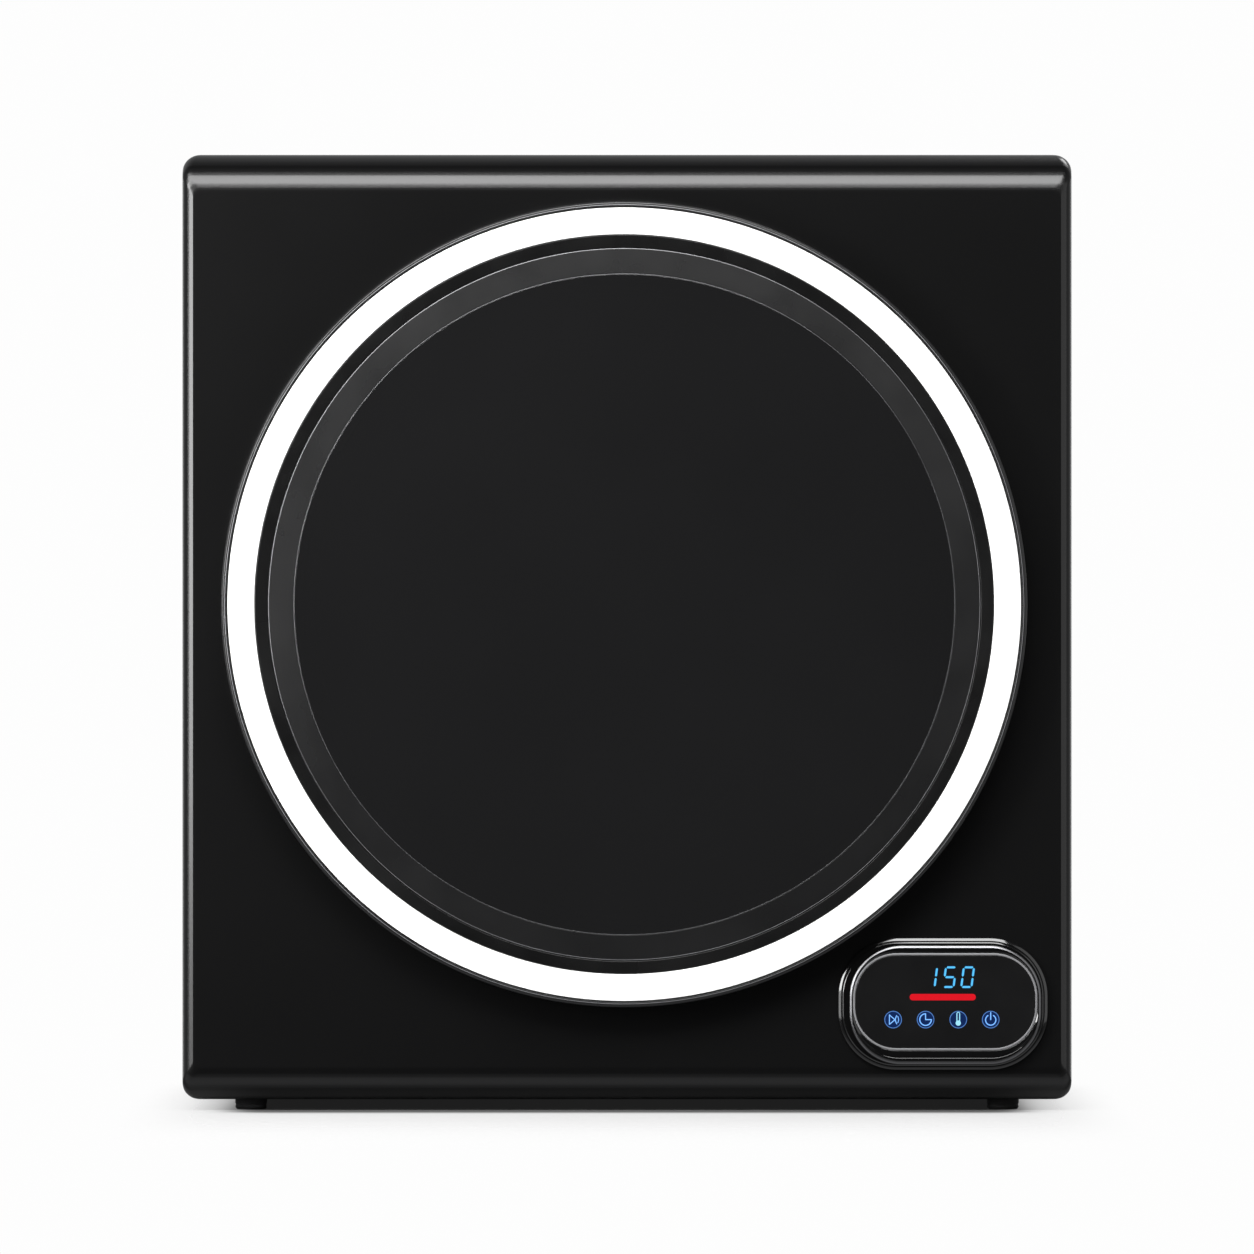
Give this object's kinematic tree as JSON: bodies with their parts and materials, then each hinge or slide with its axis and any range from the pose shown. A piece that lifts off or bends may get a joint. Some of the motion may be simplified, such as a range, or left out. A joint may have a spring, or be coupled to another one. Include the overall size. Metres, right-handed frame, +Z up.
{
  "type": "clothes dryer",
  "caption": "Compact front-loading vented clothes dryer with a round hinged glass door and a touch control pod at the lower right.",
  "frame": {"origin": "on the floor, under the middle of the bounding box", "axes": "+Z up, -Y out of the door's front, +X to the right seen from the front"},
  "size_m": [0.49, 0.428, 0.527],
  "materials": {
    "cabinet_paint": "smooth semi-gloss black enamel",
    "rear_panel_steel": "satin black enamel",
    "zinc_sheet": "galvanised sheet, dull",
    "felt": "dense wool felt",
    "rubber": "matt moulded rubber",
    "grey_plastic": "moulded, fine texture",
    "machine_steel": "machined",
    "drum_steel": "brushed stainless sheet",
    "heater_fins": "bare",
    "gloss_black": "piano black",
    "satin_black": "satin moulded",
    "smoked_ring": "smoked, semi-gloss",
    "white_trim": "semi-gloss white",
    "tinted_glass": "polished, dark tint",
    "clear_bowl": "polished, light smoke",
    "control_glass": "polished black",
    "circuit_board": "solder mask",
    "display_blue": "lit",
    "display_cyan": "lit",
    "display_red": "lit"
  },
  "bodies": {
    "cabinet": {"front_panel": "cabinet_paint", "top_cover": "cabinet_paint", "base_pan": "cabinet_paint", "left_side_panel": "cabinet_paint", "right_side_panel": "cabinet_paint", "rear_panel": "rear_panel_steel", "front_bulkhead": "zinc_sheet", "front_felt_ring": "felt", "foot_front_left": "rubber", "foot_front_right": "rubber", "foot_rear_left": "rubber", "foot_rear_right": "rubber", "rear_bulkhead": "zinc_sheet", "rear_felt_ring": "felt", "blower_housing": "grey_plastic", "rear_crossbar": "zinc_sheet", "rear_axle": "machine_steel", "heater_housing": "zinc_sheet", "heater_element": "heater_fins", "thermal_cutout": "heater_fins", "exhaust_collar": "grey_plastic", "cord_gland": "rubber", "motor_body": "machine_steel", "motor_bracket": "zinc_sheet", "idler_spring": "machine_steel", "drum_belt": "rubber", "fan_belt": "rubber", "hinge_plate": "machine_steel", "hinge_pin": "machine_steel", "catch_magnet": "satin_black", "door_sensor": "satin_black", "control_housing": "gloss_black", "control_bezel": "gloss_black", "control_window": "control_glass", "display_board": "circuit_board", "power_board": "circuit_board"},
    "door": {"door_frame": "gloss_black", "door_trim_ring": "white_trim", "door_bezel_ring": "satin_black", "window_ring": "smoked_ring", "door_window": "tinted_glass", "door_liner": "satin_black", "window_bowl": "clear_bowl", "door_seal": "rubber", "strike_plate": "machine_steel", "hinge_arm": "machine_steel"},
    "drum": {"drum_shell": "drum_steel", "drum_back": "drum_steel", "lifter_1": "grey_plastic", "lifter_2": "grey_plastic", "lifter_3": "grey_plastic", "drum_hub": "machine_steel", "drum_bearing": "machine_steel"},
    "lint_filter": {"lint_filter": "grey_plastic"},
    "fan": {"fan_wheel": "grey_plastic"},
    "rotor": {"motor_shaft": "machine_steel", "drum_pulley": "machine_steel", "fan_drive_pulley": "machine_steel"},
    "idler_arm": {"idler_arm": "zinc_sheet"},
    "idler_roller": {"idler_roller": "grey_plastic"}
  },
  "joints": [
    {"name": "door_hinge", "type": "hinge", "parent": "cabinet", "child": "door", "pos_m": [-0.215, -0.203, 0.279], "axis": [0, 0, -1], "range_deg": [0, 130]},
    {"name": "drum_spin", "type": "hinge", "parent": "cabinet", "child": "drum", "pos_m": [-0.0015, 0.111, 0.279], "axis": [0, 1, 0], "continuous": true},
    {"name": "lint_filter_slide", "type": "slide", "parent": "drum", "child": "lint_filter", "axis": [0, -1, 0], "range_m": [0, 0.2]},
    {"name": "fan_spin", "type": "hinge", "parent": "cabinet", "child": "fan", "pos_m": [-0.0015, 0.16, 0.279], "axis": [0, 1, 0], "continuous": true},
    {"name": "motor_spin", "type": "hinge", "parent": "cabinet", "child": "rotor", "pos_m": [-0.19, 0, 0.062], "axis": [0, 1, 0], "continuous": true},
    {"name": "idler_swing", "type": "hinge", "parent": "cabinet", "child": "idler_arm", "pos_m": [-0.072, 0.072, 0.024], "axis": [0, 1, 0], "range_deg": [0, 12], "stiffness_Nm_per_rad": 0.5, "springref_deg": -17.19, "deforming": ["idler_spring"]},
    {"name": "idler_spin", "type": "hinge", "parent": "idler_arm", "child": "idler_roller", "pos_m": [-0.11, 0.063, 0.062], "axis": [0, 1, 0], "continuous": true}
  ],
  "couplings": [
    {"joint": "motor_spin", "follows": "drum_spin", "ratio": 19.61},
    {"joint": "fan_spin", "follows": "drum_spin", "ratio": 9.289},
    {"joint": "idler_spin", "follows": "drum_spin", "ratio": 15.35}
  ]
}
